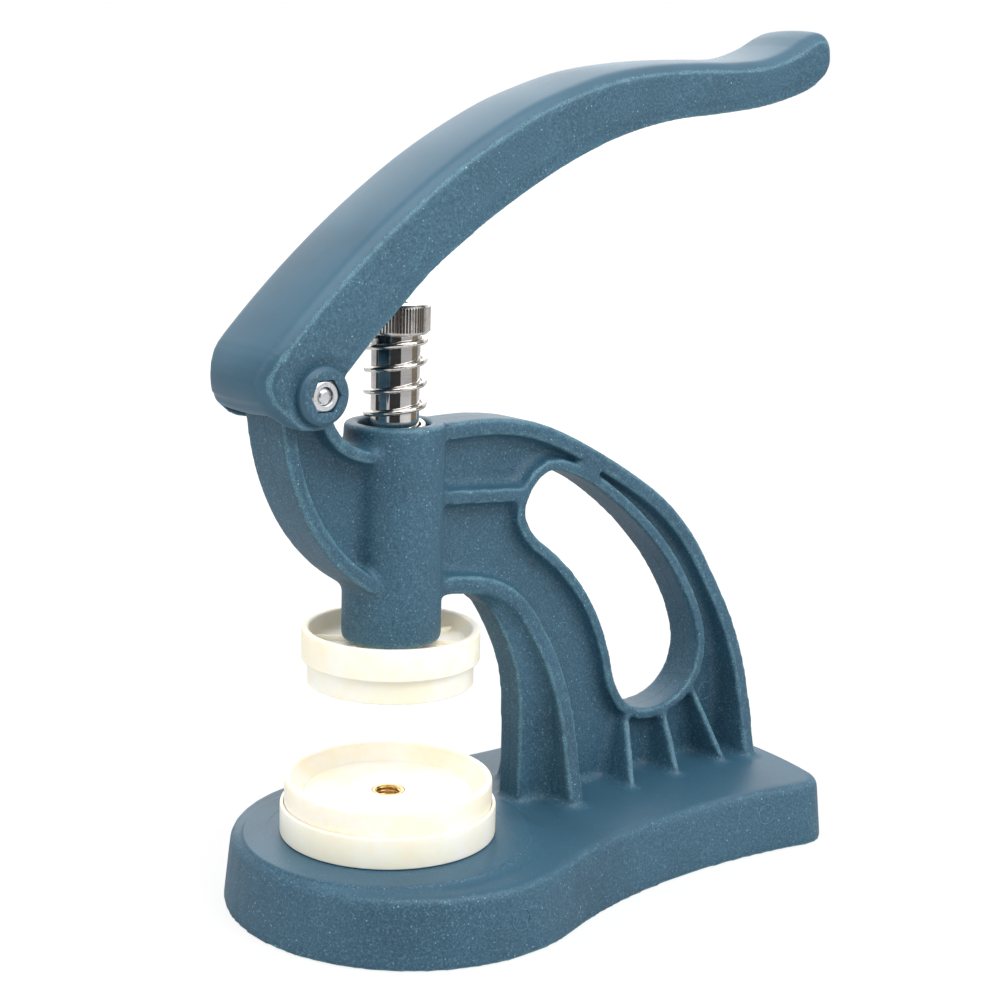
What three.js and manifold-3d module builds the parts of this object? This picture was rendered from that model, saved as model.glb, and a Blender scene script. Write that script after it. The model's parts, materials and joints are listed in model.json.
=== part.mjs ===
// Bench hand press for making 58 mm pin-back button badges.
// Millimetres, +Z up. The press is drawn about its spindle: X = 0, Y = 0 is the spindle's
// axis, Z = 0 the bench, +X the rear end that the lever's grip points to. The last lines
// shift everything so that the origin is at the middle of the underside of the whole box.
import * as THREE from 'three';
import { mergeVertices } from 'three/addons/utils/BufferGeometryUtils.js';
import Module from 'manifold-3d';

const wasm = await Module();
wasm.setup();

// ---------------------------------------------------------------- driving dimensions
const GAP = 0.3;              // left between pieces that touch
const RUNNING_FIT = 0.08;     // radial clearance of a shaft that turns or slides in its hole
const DECK = 25;              // height of the base's deck
const SEAT = 27;              // height of the round seat under the lower die
const SEAT_R = 52;
const BASE_WALL = 4.2;
const BASE_TOP = 20;          // underside of the deck
const LOBE_X = 10.5;          // centre of the round front of the base
const LOBE_R = 68;
const WEB_T = 5;              // the arm's web
const ARM_W = 9;              // half width of the arm's flanges at the top
const ARM_FOOT_W = 22.5;      // the same where the arm meets the deck
const FLARE_TOP = 110;        // height where the flanges begin to flare
const BEAD_T = 4.5;           // rim round the handle hole
const TUBE_R = 17.75;
const TUBE_LOW = 99.2;
const TUBE_TOP = 177.2;
const SPRING_BORE_R = 12.55;
const SPRING_SEAT = 118;
const ROD_R = 8.5;
const HEAD_R = 11.8;
const HEAD_LOW = 208;
const HEAD_TOP = 218.3;
const WIRE_R = 1;
const COIL_R = 10.1;
const COILS = 11;
const PIVOT_X = -44.5;
const PIVOT_Z = 192;
const PIVOT_R = 3;            // M6 bolt
const LUG_W = 11.3;           // half width of the pivot lug
const LEVER_W = 19;           // half width of the lever at the front
const LEVER_TIP_W = 16.8;
const LEVER_WALL = 3.5;
const LEVER_END = 205.5;      // tip of the grip
const EAR_FACE = 21.3;        // outer face of the bosses round the bolt
const BOSS_R = 9.7;           // bosses round the pivot bolt
const HEX_M6 = 5.75;          // half the width across the corners of an M6 nut
const DIE_R = 39;             // outside of the lower die's holder
const DIE_BORE_R = 37.75;
const CORE_R = 30.4;          // the fixed floor of the lower die
const CORE_TOP = 42.2;
const HOLDER_TOP = 38.5;
const SLEEVE_R = 37.5;
const SLEEVE_TOP = 47.8;
const SLEEVE_LOW = 36.5;
const GROOVE_Z = 30.3;
const CUP_R = 31.85;          // outside of the upper die
const CUP_TOP = 103.4;
const CUP_STEP = 92;
const CUP_FLOOR = 97.3;
const CUP_ROOF = 93;
const SKIRT_R = 29.7;
const SKIRT_LOW = 83.5;
const SKIRT_BORE_R = 28.3;
const INSERT_R = 5.75;        // brass M8 insert
const THREAD_R = 4;           // M8

// ---------------------------------------------------------------- solids
const V2 = (x, y) => new THREE.Vector2(x, y);

// A closed geometry as a manifold solid, with its faces turned outwards.
function solid(geometry) {
  const bare = geometry.clone();
  bare.deleteAttribute('normal');
  bare.deleteAttribute('uv');
  const merged = mergeVertices(bare, 1e-4);
  const position = merged.getAttribute('position').array;
  const index = merged.getIndex().array;
  const triangles = [];
  let volume = 0;
  for (let i = 0; i < index.length; i += 3) {
    const [a, b, c] = [index[i], index[i + 1], index[i + 2]];
    if (a === b || b === c || c === a) continue;
    triangles.push([a, b, c]);
    const [p, q, r] = [a, b, c].map((k) => new THREE.Vector3().fromArray(position, 3 * k));
    volume += p.dot(q.cross(r));
  }
  if (volume < 0) triangles.forEach((t) => t.reverse());
  return new wasm.Manifold(new wasm.Mesh({
    numProp: 3,
    vertProperties: new Float32Array(position),
    triVerts: new Uint32Array(triangles.flat()),
  }));
}

const join = (...parts) => parts.reduce((whole, part) => whole.add(part));
const cut = (body, ...tools) => tools.reduce((whole, tool) => whole.subtract(tool), body);

// An XZ outline given a thickness along Y, from y0 to y1.
function plate(shape, y0, y1) {
  const geometry = new THREE.ExtrudeGeometry(shape, { depth: y1 - y0, bevelEnabled: false });
  geometry.rotateX(Math.PI / 2);
  geometry.translate(0, y1, 0);
  return solid(geometry);
}

// A YZ outline given a thickness along X, from x0 to x1.
function slice(shape, x0, x1) {
  const geometry = new THREE.ExtrudeGeometry(shape, { depth: x1 - x0, bevelEnabled: false });
  geometry.rotateX(Math.PI / 2);
  geometry.rotateZ(Math.PI / 2);
  geometry.translate(x0, 0, 0);
  return solid(geometry);
}

// An XY outline raised from z0 to z1.
function slab(shape, z0, z1) {
  const depth = z1 - z0;
  const geometry = new THREE.ExtrudeGeometry(shape, { depth, bevelEnabled: false, curveSegments: 10 });
  geometry.translate(0, 0, z0);
  return solid(geometry);
}

const polygon = (points) => new THREE.Shape(points.map(([x, y]) => V2(x, y)));

// A [radius, height] profile turned about a vertical axis.
function turned(profile, segments = 48, x = 0, y = 0) {
  const closed = [...profile, profile[0]].map(([r, z]) => V2(r, z));
  const geometry = new THREE.LatheGeometry(closed, segments);
  geometry.rotateX(Math.PI / 2);
  geometry.translate(x, y, 0);
  return solid(geometry);
}

// A cylinder along Z.
function rod(r, z0, z1, segments = 48, x = 0, y = 0) {
  return turned([[0, z0], [r, z0], [r, z1], [0, z1]], segments, x, y);
}

// A cylinder along Y, about the pivot's axis.
function crossRod(r, y0, y1, segments = 36) {
  const geometry = new THREE.CylinderGeometry(r, r, y1 - y0, segments);
  geometry.translate(PIVOT_X, (y0 + y1) / 2, PIVOT_Z);
  return solid(geometry);
}

function box(x0, x1, y0, y1, z0, z1) {
  const geometry = new THREE.BoxGeometry(x1 - x0, y1 - y0, z1 - z0);
  geometry.translate((x0 + x1) / 2, (y0 + y1) / 2, (z0 + z1) / 2);
  return solid(geometry);
}

// A stack of equal-length XY loops [z, points] joined into one closed solid.
function loft(levels) {
  const n = levels[0][1].length;
  const position = levels.flatMap(([z, loop]) => loop.flatMap((p) => [p.x, p.y, z]));
  const index = [];
  for (let level = 0; level + 1 < levels.length; level++) {
    for (let i = 0; i < n; i++) {
      const a = level * n + i;
      const b = level * n + ((i + 1) % n);
      index.push(a, b, b + n, a, b + n, a + n);
    }
  }
  const last = (levels.length - 1) * n;
  for (const [a, b, c] of THREE.ShapeUtils.triangulateShape(levels[0][1], [])) {
    index.push(c, b, a);
  }
  for (const [a, b, c] of THREE.ShapeUtils.triangulateShape(levels[levels.length - 1][1], [])) {
    index.push(a + last, b + last, c + last);
  }
  const geometry = new THREE.BufferGeometry();
  geometry.setAttribute('position', new THREE.Float32BufferAttribute(position, 3));
  geometry.setIndex(index);
  return solid(geometry);
}

// Points moved sideways by d, to the left of the way they run.
function offset(points, d, closed = false) {
  const n = points.length;
  return points.map((p, i) => {
    const before = points[closed ? (i + n - 1) % n : Math.max(i - 1, 0)];
    const after = points[closed ? (i + 1) % n : Math.min(i + 1, n - 1)];
    const along = V2(after.x - before.x, after.y - before.y).normalize();
    return V2(p.x - d * along.y, p.y + d * along.x);
  });
}

// A smooth curve through a few points, as a list of points.
function curve(points, count, closed = false) {
  const stops = points.map(([x, z]) => new THREE.Vector3(x, z, 0));
  const path = new THREE.CatmullRomCurve3(stops, closed, 'centripetal');
  const list = path.getSpacedPoints(count).map((p) => V2(p.x, p.y));
  return closed ? list.slice(0, -1) : list;
}

// The band between a curve and the same curve moved sideways.
const band = (points, d) => new THREE.Shape([...points, ...offset(points, d).reverse()]);

// ---------------------------------------------------------------- base
function baseLoop(inset) {
  const start = 0.38;                       // angle where the round front ends
  const shape = new THREE.Shape();
  const x = LOBE_X + LOBE_R * Math.sin(start);
  const y = LOBE_R * Math.cos(start);
  shape.moveTo(x, -y);
  shape.bezierCurveTo(x + 38, 14.3 - y, 125, -49.8, 163, -59.3);
  shape.quadraticCurveTo(175.5, -62.4, 181, -50);
  shape.quadraticCurveTo(196, 0, 181, 50);
  shape.quadraticCurveTo(175.5, 62.4, 163, 59.3);
  shape.bezierCurveTo(125, 49.8, x + 38, y - 14.3, x, y);
  shape.absarc(LOBE_X, 0, LOBE_R, Math.PI / 2 - start, 1.5 * Math.PI + start, false);
  const loop = mergeLoop(shape.getPoints(14));
  return inset ? offset(loop, inset, true) : loop;
}

// A loop without points that fall on their neighbours.
function mergeLoop(points) {
  const kept = points.filter((p, i) => i === 0 || p.distanceTo(points[i - 1]) > 0.05);
  if (kept[0].distanceTo(kept[kept.length - 1]) < 0.05) kept.pop();
  return kept;
}

function base() {
  const outside = loft([
    [0, baseLoop(0)],
    [DECK - 2.5, baseLoop(2.4)],
    [DECK - 0.8, baseLoop(3.1)],
    [DECK, baseLoop(4.6)],
  ]);
  const inside = loft([[-1, baseLoop(BASE_WALL)], [BASE_TOP, baseLoop(BASE_WALL + 2.4)]]);
  const seat = turned([[0, DECK - 2], [SEAT_R + 1.5, DECK - 2], [SEAT_R + 1.5, DECK],
    [SEAT_R, SEAT], [0, SEAT]], 48);
  const boss = rod(15, 6, BASE_TOP + 1, 24);
  const body = join(cut(outside, inside), boss, seat);
  const boltHole = rod(THREAD_R + 0.5, 5, SEAT + 1, 24);
  const boltRecess = rod(10.5, 5, 14, 24);
  return cut(body, boltHole, boltRecess);
}

// ---------------------------------------------------------------- arm
const armBack = () => curve([[6, 175.6], [22, 176], [38, 176], [56, 173.5], [71, 168.5], [89, 160],
  [109, 149], [130, 135], [147, 118], [159, 100], [168, 83], [173.3, 66], [175, 50], [175, 36],
  [174.3, 22]], 34);

const armFront = () => curve([[8, 113.2], [17, 113.5], [28, 112.5], [40, 109.5], [51, 102.5], [59, 91.5],
  [65.5, 79], [69.5, 66], [71, 53], [71, 38], [70.5, 22]], 26);

const nose = () => curve([[30, 112], [39.5, 107], [46.5, 97], [51.8, 87], [55.4, 77.5], [57.3, 66],
  [57.8, 52], [57.8, 37], [57.8, 22]], 16);

const holeLoop = () => curve([[67, 153.6], [58.5, 147.5], [55.5, 139], [60, 130.5], [71, 122], [84, 109.5],
  [95, 93.5], [101.5, 78], [105.5, 65], [113, 55], [125, 51], [138.5, 53], [148.5, 60.5], [151.5, 73],
  [147.5, 86.5], [141, 98], [131, 111.5], [116, 126.5], [100, 139], [83, 149.2]], 54, true);

// Seen from the front the flanges stand straight, then flare out towards the deck.
function flareEnvelope() {
  const side = [];
  for (let step = 0; step <= 8; step++) {
    const drop = step / 8;
    side.push([ARM_W + (ARM_FOOT_W - ARM_W) * drop ** 1.6, FLARE_TOP + (DECK - FLARE_TOP) * drop]);
  }
  const right = [[ARM_W, TUBE_TOP + 5], ...side, [ARM_FOOT_W, DECK - 3]];
  const left = right.map(([y, z]) => [-y, z]).reverse();
  return slice(polygon([...right, ...left]), 0, 190);
}

// One brace under the handle hole: it leans in XZ and spreads towards the deck.
function brace(topX, topZ, footX) {
  const lean = plate(polygon([[topX - 1.6, topZ], [topX + 1.6, topZ], [footX + 1.6, DECK - 2],
    [footX - 1.6, DECK - 2]]), -25, 25);
  const half = [[7.5, topZ], [20.5, DECK], [20.5, DECK - 3]];
  const spread = polygon([...half, ...half.map(([y, z]) => [-y, z]).reverse()]);
  return lean.intersect(slice(spread, 60, 190));
}

function arm() {
  const back = armBack();
  const front = armFront();
  const hole = holeLoop();
  const web = plate(new THREE.Shape([...back, ...[...front].reverse()]), -WEB_T / 2, WEB_T / 2);
  const flanges = join(
    plate(band(back, -6.3), -30, 30),
    plate(band(front, 7), -30, 30),
  ).intersect(flareEnvelope());
  const rim = plate(new THREE.Shape(offset(hole, -BEAD_T, true)), -8.5, 8.5);
  const ribBack = [V2(73, 22), V2(73, 60), V2(60, 98), V2(30, 118)];
  const noseRib = plate(new THREE.Shape([...nose(), ...ribBack]), -6, 6);
  const stringer = plate(polygon([[10, 147], [54, 143.5], [54, 149], [10, 152.6]]), -8.5, 8.5);
  const braces = join(brace(113, 52, 105.3), brace(133, 52, 131), brace(148.5, 58, 158.5));
  const whole = join(web, flanges, rim, noseRib, stringer, braces);
  return cut(whole, plate(new THREE.Shape(hole), -30, 30));
}

// ---------------------------------------------------------------- guide tube and pivot lug
const lugFront = () => curve([[-55.3, 190], [-54.6, 182], [-51.5, 166], [-46, 151.5], [-38, 138.5],
  [-27, 127], [-14, 118.3], [-4, 113.5]], 18);

const lugTop = () => curve([[-6, 168.6], [-14, 169.3], [-22, 171], [-29, 175], [-34, 182],
  [-34.5, 190]], 14);

function lug() {
  const front = lugFront();
  const top = lugTop();
  const outline = new THREE.Shape([...front, ...top]);
  const web = plate(outline, -3, 3);
  const frontFlange = plate(band(front, 5.5), -LUG_W, LUG_W);
  const topFlange = plate(band(top, 4.6), -LUG_W, LUG_W);
  return join(web, frontFlange, topFlange, crossRod(10.8, -LUG_W, LUG_W, 28));
}

function frame() {
  const tube = turned([[0, TUBE_LOW], [TUBE_R - 1, TUBE_LOW], [TUBE_R, TUBE_LOW + 1],
    [TUBE_R, TUBE_TOP - 0.8], [TUBE_R - 0.8, TUBE_TOP], [0, TUBE_TOP]], 40);
  const whole = join(base(), arm(), tube, lug());
  const springBore = rod(SPRING_BORE_R, SPRING_SEAT, TUBE_TOP + 2, 36);
  const guideBore = rod(ROD_R + RUNNING_FIT, TUBE_LOW - 2, SPRING_SEAT + 1, 40);
  const pivotHole = crossRod(PIVOT_R + RUNNING_FIT, -LUG_W - 1, LUG_W + 1, 24);
  return cut(whole, springBore, guideBore, pivotHole);
}

// ---------------------------------------------------------------- lever
const leverTop = () => curve([[-61, 184], [-66, 189], [-68, 197], [-65.5, 204.5], [-58, 213],
  [-38, 232], [-13, 252.3], [15, 271], [44, 286], [60, 292], [82, 298.5], [104, 302], [128, 303.7],
  [150, 304.5], [166, 306.3], [180, 310.5], [190, 315.3], [198, 317.6], [203.5, 315], [205.5, 308]], 84);

const leverLow = () => curve([[205.2, 304.5], [201, 300], [190, 294.3], [176, 290], [162, 287],
  [140, 284.2], [116, 281.8], [93, 277], [71, 269.8], [50, 260.4], [30, 249.6], [19, 243], [1, 231],
  [-12, 219.5], [-27, 205.8], [-34.6, 197.8]], 40);

// Underside of the ears: round the bolt's boss and along to the front lip.
const earLow = () => curve([[-34.2, 193], [-35.6, 186.5], [-39.5, 182], [-46, 180], [-53, 180],
  [-58.5, 181.8]], 14);

// Seen from above the lever narrows towards a rounded grip.
function leverPlan(side, end) {
  const shape = new THREE.Shape();
  const tip = side - (LEVER_W - LEVER_TIP_W);
  const corner = 7;
  const round = 10;                          // the front corners are rounder than the grip's
  const nose = side + 49.5;                  // how far forward of the spindle the front face is
  shape.moveTo(-nose, round - side);
  shape.quadraticCurveTo(-nose, -side, round - nose, -side);
  shape.lineTo(10, -side);
  shape.lineTo(end - corner, -tip);
  shape.quadraticCurveTo(end, -tip, end, -tip + corner);
  shape.lineTo(end, tip - corner);
  shape.quadraticCurveTo(end, tip, end - corner, tip);
  shape.lineTo(10, side);
  shape.lineTo(round - nose, side);
  shape.quadraticCurveTo(-nose, side, -nose, side - round);
  return slab(shape, 150, 340);
}

function lever() {
  const top = leverTop();
  const low = leverLow();
  const outline = new THREE.Shape([...top, ...low, ...earLow()]);
  const outside = plate(outline, -30, 30).intersect(leverPlan(LEVER_W, LEVER_END));
  const inner = offset(top, -LEVER_WALL).filter((p) => p.x < LEVER_END - 12);
  const below = [V2(LEVER_END - 14, 280), V2(120, 150)];
  const hollow = new THREE.Shape([V2(-62, 150), ...inner.slice(1), ...below]);
  const inside = plate(hollow, -30, 30).intersect(leverPlan(LEVER_W - LEVER_WALL, LEVER_END - 4));
  const crossWall = box(-12.5, -4.5, -LEVER_W + 1, LEVER_W - 1, 226, 256).intersect(outside);
  const pressRib = join(crossWall, box(-12.5, -4.5, -6, 6, 222.6, 240),
    crossRod(4, -6, 6, 24).translate([36, 0, 30.6]));
  const bosses = join(
    crossRod(BOSS_R, LUG_W + GAP, EAR_FACE, 28),
    crossRod(BOSS_R, -EAR_FACE, -LUG_W - GAP, 28),
  );
  const bolt = crossRod(PIVOT_R + GAP, -30, 30, 24);
  const nutPocket = crossRod(HEX_M6 + GAP, -30, -EAR_FACE + 5, 6);
  const headPocket = crossRod(HEX_M6 + GAP, EAR_FACE - 4.5, 30, 6);
  const shell = join(cut(outside, inside), pressRib, bosses);
  return cut(shell, bolt, nutPocket, headPocket);
}

function pivotBolt() {
  const head = crossRod(HEX_M6, EAR_FACE - 4.2, EAR_FACE - 0.4, 6);
  return join(crossRod(PIVOT_R, -EAR_FACE + 0.6, EAR_FACE - 4, 24), head);
}

function pivotNut() {
  return cut(crossRod(HEX_M6, -EAR_FACE + 0.5, -EAR_FACE + 4.7, 6), crossRod(PIVOT_R + GAP, -30, 30, 24));
}

// ---------------------------------------------------------------- spindle
function spindle() {
  return turned([[0, 87], [THREAD_R - 0.8, 87], [THREAD_R, 88], [THREAD_R, 99.2],
    [ROD_R - 0.6, 99.2], [ROD_R, 99.8], [ROD_R, HEAD_LOW - GAP], [5, HEAD_LOW - GAP], [5, 214],
    [0, 214]], 40);
}

function spindleHead() {
  const cap = turned([[0, HEAD_LOW], [HEAD_R - 0.7, HEAD_LOW], [HEAD_R, HEAD_LOW + 0.7],
    [HEAD_R, HEAD_TOP - 0.8], [HEAD_R - 0.8, HEAD_TOP], [0, HEAD_TOP]], 36);
  return cut(cap, rod(5 + GAP, HEAD_LOW - 1, 214 + GAP, 20));
}

// A closed coil spring of round wire between two heights.
function spring(r, wire, z0, z1, turns, x = 0, y = 0, perTurn = 12, sides = 6) {
  const points = [];
  for (let step = 0; step <= turns * perTurn; step++) {
    const angle = (2 * Math.PI * step) / perTurn;
    const z = z0 + wire + ((z1 - z0 - 2 * wire) * step) / (turns * perTurn);
    points.push(new THREE.Vector3(x + r * Math.cos(angle), y + r * Math.sin(angle), z));
  }
  const section = new THREE.Shape();
  section.absarc(0, 0, wire, 0, 2 * Math.PI, false);
  return solid(new THREE.ExtrudeGeometry(section, {
    steps: turns * perTurn,
    curveSegments: sides / 2,
    bevelEnabled: false,
    extrudePath: new THREE.CatmullRomCurve3(points),
  }));
}

// ---------------------------------------------------------------- dies
function upperDie() {
  const cup = turned([[0, CUP_ROOF], [SKIRT_BORE_R, CUP_ROOF], [SKIRT_BORE_R, SKIRT_LOW],
    [SKIRT_R - 0.7, SKIRT_LOW], [SKIRT_R, SKIRT_LOW + 0.8], [SKIRT_R, CUP_STEP - 1], [CUP_R, CUP_STEP],
    [CUP_R, CUP_TOP - 0.6], [CUP_R - 0.6, CUP_TOP], [29.4, CUP_TOP], [28.6, CUP_TOP - 1],
    [27, CUP_FLOOR], [12, CUP_FLOOR], [12, TUBE_LOW - GAP], [0, TUBE_LOW - GAP]], 40);
  return cut(cup, rod(INSERT_R + GAP, CUP_ROOF - 2, CUP_TOP, 20));
}

function insert(z0, z1) {
  return turned([[THREAD_R + GAP, z0], [INSERT_R - 0.4, z0], [INSERT_R, z0 + 0.4],
    [INSERT_R, z1 - 0.4], [INSERT_R - 0.4, z1], [THREAD_R + 0.8, z1], [THREAD_R + GAP, z1 - 0.5]], 20);
}

function padPlate() {
  return turned([[7, 85.6], [27.2, 85.6], [27.9, 86.3], [27.9, 87.9], [7, 87.9]], 36);
}

function lowerHolder() {
  const body = turned([[0, SEAT + GAP], [DIE_R - 0.6, SEAT + GAP], [DIE_R, SEAT + 0.9],
    [DIE_R, HOLDER_TOP - 0.5], [DIE_R - 0.5, HOLDER_TOP], [DIE_BORE_R, HOLDER_TOP],
    [DIE_BORE_R, GROOVE_Z], [CORE_R, GROOVE_Z], [CORE_R, CORE_TOP], [0, CORE_TOP]], 40);
  const insertHole = rod(INSERT_R + GAP, SEAT + 3.2, CORE_TOP + 1, 20);
  return cut(body, insertHole, rod(THREAD_R + 0.5, SEAT - 1, SEAT + 4, 24));
}

function lowerSleeve() {
  return turned([[CORE_R + GAP, SLEEVE_LOW], [SLEEVE_R, SLEEVE_LOW], [SLEEVE_R, SLEEVE_TOP - 1.4],
    [SLEEVE_R - 0.5, SLEEVE_TOP - 0.4], [SLEEVE_R - 1.3, SLEEVE_TOP], [35.6, SLEEVE_TOP],
    [34.9, SLEEVE_TOP - 0.7], [31.3, CORE_TOP + 0.4], [CORE_R + GAP, CORE_TOP - 0.3]], 40);
}

function dieBolt() {
  const head = rod(7.5, 7, 12.3, 6);
  return join(head, rod(THREAD_R, 12, 37, 24));
}

const dieWasher = () => cut(rod(8.5, 12.6, 13.7, 24), rod(THREAD_R + GAP, 12, 15, 20));

// ---------------------------------------------------------------- assembly
const finishes = {
  moulding: { color: 0x3d5f73, roughness: 0.5, metalness: 0 },
  ivory: { color: 0xf6f0dc, roughness: 0.4, metalness: 0 },
  chrome: { color: 0xc9cbcd, roughness: 0.12, metalness: 1 },
  nickel: { color: 0xc4c0b8, roughness: 0.28, metalness: 1 },
  zinc: { color: 0xb9bdc2, roughness: 0.38, metalness: 1 },
  brass: { color: 0xd2a155, roughness: 0.25, metalness: 1 },
};

const press = new THREE.Group();

function add(name, finish, body) {
  const made = body.getMesh();
  const geometry = new THREE.BufferGeometry();
  geometry.setAttribute('position', new THREE.Float32BufferAttribute(made.vertProperties, 3));
  geometry.setIndex([...made.triVerts]);
  geometry.computeVertexNormals();
  const mesh = new THREE.Mesh(geometry, new THREE.MeshStandardMaterial(finishes[finish]));
  mesh.name = name;
  press.add(mesh);
}

// Small springs stand in a ring; each is its own piece.
function addSprings(name, count, ring, z0, z1, r, wire) {
  for (let i = 0; i < count; i++) {
    const angle = (2 * Math.PI * (i + 0.25)) / count;
    const body = spring(r, wire, z0, z1, 3, ring * Math.cos(angle), ring * Math.sin(angle), 6, 4);
    add(`${name}_${i + 1}`, 'chrome', body);
  }
}

add('frame', 'moulding', frame());
add('lever', 'moulding', lever());
add('pivot_bolt', 'zinc', pivotBolt());
add('pivot_nut', 'zinc', pivotNut());
add('spindle', 'chrome', spindle());
add('spindle_head', 'nickel', spindleHead());
add('return_spring', 'chrome', spring(COIL_R, WIRE_R, SPRING_SEAT + GAP, HEAD_LOW - GAP, COILS));
add('upper_die_cup', 'ivory', upperDie());
add('upper_die_insert', 'brass', insert(CUP_ROOF - 0.2, 98.6));
add('upper_die_pad', 'ivory', padPlate());
addSprings('upper_pad_spring', 3, 18, 87.9 + GAP, CUP_ROOF - GAP, 2.6, 0.35);
add('lower_die_holder', 'ivory', lowerHolder());
add('lower_die_sleeve', 'ivory', lowerSleeve());
add('lower_die_insert', 'brass', insert(SEAT + 3.5, CORE_TOP - 0.1));
addSprings('sleeve_spring', 4, 34, GROOVE_Z + GAP, SLEEVE_LOW - GAP, 2.5, 0.45);
add('die_bolt', 'zinc', dieBolt());
add('die_washer', 'zinc', dieWasher());

const bounds = new THREE.Box3().setFromObject(press);
const middle = bounds.getCenter(new THREE.Vector3());
press.position.set(-middle.x, -middle.y, -bounds.min.z);
press.updateMatrixWorld(true);

export default press;
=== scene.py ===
# %% [markdown]
# # A bench press for round button badges
#
# The real press is one blue plastic moulding, the frame, with a curved lever pinned to its
# front. Pulling the lever down pushes a chromed spindle through the frame's tube, against a
# coil spring, and closes the round upper die on the lower one. This lesson builds its looks
# around a packed mechanical model, which already holds every size, joint and pivot.
#
# ## Opening the frame
#
# Everything is drawn in millimetres about the spindle's axis, so `at(x, y, z)` turns such a place into
# Blender's metres, and `reach` reads a part's size back in millimetres.

# %% Open the frame
import json
import math
import bmesh
import bpy
import numpy as np
from mathutils import Matrix, Vector
from mathutils.bvhtree import BVHTree


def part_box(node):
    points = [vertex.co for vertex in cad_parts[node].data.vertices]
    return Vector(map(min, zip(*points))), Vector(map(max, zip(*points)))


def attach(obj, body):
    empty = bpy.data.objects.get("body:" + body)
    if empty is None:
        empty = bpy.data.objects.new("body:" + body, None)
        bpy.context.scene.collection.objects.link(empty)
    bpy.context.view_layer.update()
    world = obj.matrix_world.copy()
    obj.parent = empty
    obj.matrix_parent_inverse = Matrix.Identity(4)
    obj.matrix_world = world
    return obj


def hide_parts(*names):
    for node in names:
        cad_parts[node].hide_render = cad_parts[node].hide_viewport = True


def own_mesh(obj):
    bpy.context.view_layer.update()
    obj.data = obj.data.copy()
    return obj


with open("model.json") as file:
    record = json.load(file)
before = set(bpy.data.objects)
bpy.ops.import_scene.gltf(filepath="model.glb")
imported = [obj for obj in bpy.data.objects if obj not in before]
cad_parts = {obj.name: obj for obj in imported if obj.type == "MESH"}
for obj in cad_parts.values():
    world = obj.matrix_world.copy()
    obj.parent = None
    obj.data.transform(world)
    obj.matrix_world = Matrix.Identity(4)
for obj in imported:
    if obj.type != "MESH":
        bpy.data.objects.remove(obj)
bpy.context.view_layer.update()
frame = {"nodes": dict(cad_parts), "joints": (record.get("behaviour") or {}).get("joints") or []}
nodes = frame["nodes"]
scene = bpy.context.scene
MM = 0.001
rod_low, rod_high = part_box("spindle")
AXIS_X = (rod_low.x + rod_high.x) / 2 / MM
pivot = next(Vector(j["pos_m"]) / MM for j in frame["joints"] if j["name"] == "lever_pivot")
PIVOT_X, PIVOT_Z = pivot.x - AXIS_X, pivot.z


def at(x, y, z):
    """A place in millimetres about the spindle's axis, in Blender's metres."""
    return Vector((AXIS_X + x, y, z)) * MM


def reach(node):
    """A round part's radius, lowest height and highest height, in millimetres."""
    low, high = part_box(node)
    return (high.y - low.y) / 2 / MM, low.z / MM, high.z / MM


print("parts in the frame:", len(nodes), "and the spindle stands at x =", round(AXIS_X, 2), "mm")

# %% [markdown]
# ## The studio
#
# The press stands on a white table in soft light, seen from its front left corner and a
# little from above. A long lens keeps the uprights nearly parallel. Big area lamps do the
# lighting. Polished metal shows whatever stands round it, so cards stand out of sight to
# give the chromed rod its stripes, two dark and one brown: only reflections can see them.

# %% Floor, camera, cards and lamps
scene.view_settings.view_transform = "Standard"


def link(name, data):
    made = bpy.data.objects.new(name, data)
    scene.collection.objects.link(made)
    return made


def quad(name, corners):
    mesh = bpy.data.meshes.new(name)
    mesh.from_pydata(corners, [], [(0, 1, 2, 3)])
    return link(name, mesh)


TABLE_HALF = 50.0
floor = quad("floor", [(-TABLE_HALF, -TABLE_HALF, 0), (TABLE_HALF, -TABLE_HALF, 0),
                       (TABLE_HALF, TABLE_HALF, 0), (-TABLE_HALF, TABLE_HALF, 0)])

HEADING, DIP, TILT = math.radians(41.19), math.radians(11.84), math.radians(1.65)
EYE = at(-408.4, -523.7, 289.0)
ahead = Vector((math.sin(HEADING) * math.cos(DIP), math.cos(HEADING) * math.cos(DIP), -math.sin(DIP)))
level = Vector((math.cos(HEADING), -math.sin(HEADING), 0))
upright = level.cross(ahead)
right = level * math.cos(TILT) + upright * math.sin(TILT)
up = right.cross(ahead)
lens = bpy.data.cameras.new("camera")
lens.lens, lens.sensor_width = 69.58, 36.0
lens.clip_start, lens.clip_end = 0.02, 200.0
camera = link("camera", lens)
turned = Matrix((right, up, -ahead)).transposed().to_4x4()
camera.matrix_world = Matrix.Translation(EYE) @ turned
scene.camera = camera

MIDDLE = Vector((0.0, 0.0, 0.15))


def around(azimuth, height, distance):
    """A place round the press: azimuth 0 is in front of it at -Y, 90 at +X."""
    angle = math.radians(azimuth)
    return Vector((math.sin(angle) * distance, -math.cos(angle) * distance, height))


def lamp(name, power, size, place):
    """A square lamp of that size in metres, turned to the middle of the press."""
    data = bpy.data.lights.new(name, "AREA")
    data.energy, data.size = power, size
    made = link(name, data)
    turn = (MIDDLE - place).to_track_quat("-Z", "Y").to_matrix().to_4x4()
    made.matrix_world = Matrix.Translation(place) @ turn
    made.visible_camera = False


CARD_AWAY, CARD_TALL = 0.9, 0.9


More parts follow.
